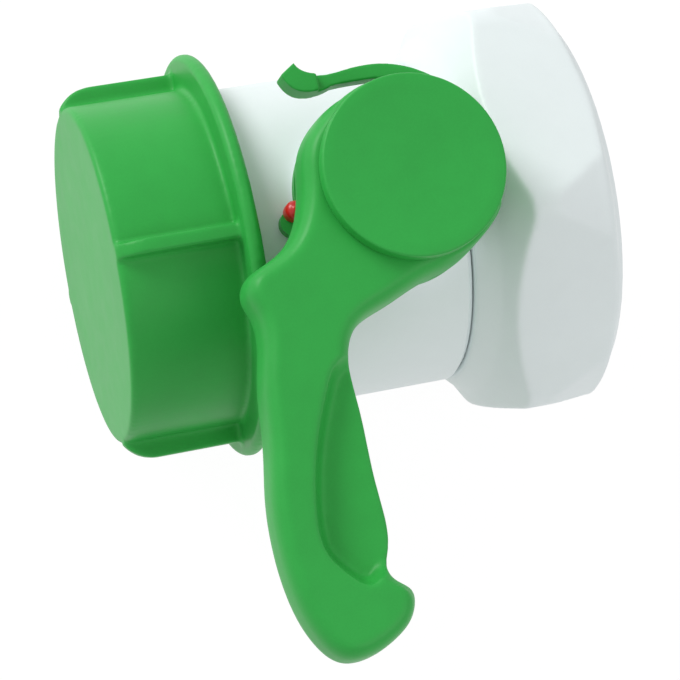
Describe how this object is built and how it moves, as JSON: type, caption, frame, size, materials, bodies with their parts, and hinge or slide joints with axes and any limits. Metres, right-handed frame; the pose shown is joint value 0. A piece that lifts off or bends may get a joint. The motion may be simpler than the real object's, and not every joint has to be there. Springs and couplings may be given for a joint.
{
  "type": "ibc tank valve",
  "caption": "Quarter-turn butterfly outlet valve for a bulk liquid container, with a swivelling coupling nut, a screw-on dust cap, a lever handle and a spring latch.",
  "frame": {"origin": "centre of the tank gasket's sealing face, where the thread of the coupling nut begins", "axes": "+X along the pipe, out of the coupling nut towards the tank; +Z along the stem, up to the handle; the closed handle points along -Y"},
  "size_m": [0.0968, 0.1264, 0.0981],
  "materials": {
    "white_hdpe": "natural, slightly translucent",
    "green_pp": "satin",
    "black_rubber": "matte",
    "grey_plastic": "satin",
    "red_plastic": "gloss",
    "steel": "plain"
  },
  "bodies": {
    "valve": {"valve_body": "white_hdpe", "tank_gasket": "black_rubber", "gland_bush": "white_hdpe", "lower_bush": "white_hdpe", "lock_plate": "green_pp", "plate_screws": "steel", "tamper_pin": "red_plastic", "latch_pin": "steel", "latch_spring": "steel"},
    "nut": {"coupling_nut": "white_hdpe"},
    "cap_seal": {"cap_gasket": "black_rubber"},
    "cap": {"dust_cap": "green_pp"},
    "drive": {"handle": "green_pp", "hub_cover": "green_pp", "handle_washer": "steel", "handle_screw": "steel", "stem": "grey_plastic", "stem_o_rings": "black_rubber", "flap": "grey_plastic", "flap_pins": "steel", "flap_seal": "black_rubber"},
    "latch": {"latch_lever": "green_pp"}
  },
  "joints": [
    {"name": "nut_swivel", "type": "hinge", "parent": "valve", "child": "nut", "pos_m": [0, 0, 0], "axis": [1, 0, 0], "continuous": true},
    {"name": "cap_run", "type": "slide", "parent": "valve", "child": "cap_seal", "axis": [-1, 0, 0], "range_m": [0, 0.0165]},
    {"name": "cap_turn", "type": "hinge", "parent": "cap_seal", "child": "cap", "pos_m": [-0.077, 0, 0], "axis": [-1, 0, 0], "range_deg": [0, 990]},
    {"name": "handle_turn", "type": "hinge", "parent": "valve", "child": "drive", "pos_m": [-0.029, 0, 0.045], "axis": [0, 0, 1], "range_deg": [-90, 0]},
    {"name": "latch_pull", "type": "hinge", "parent": "valve", "child": "latch", "pos_m": [-0.0156, 0.0134, 0.037], "axis": [0, 0, -1], "range_deg": [0, 10], "stiffness_Nm_per_rad": 0.1, "springref_deg": -17.19}
  ],
  "couplings": [
    {"joint": "cap_run", "follows": "cap_turn", "m_per_rad": 0.00095492}
  ]
}
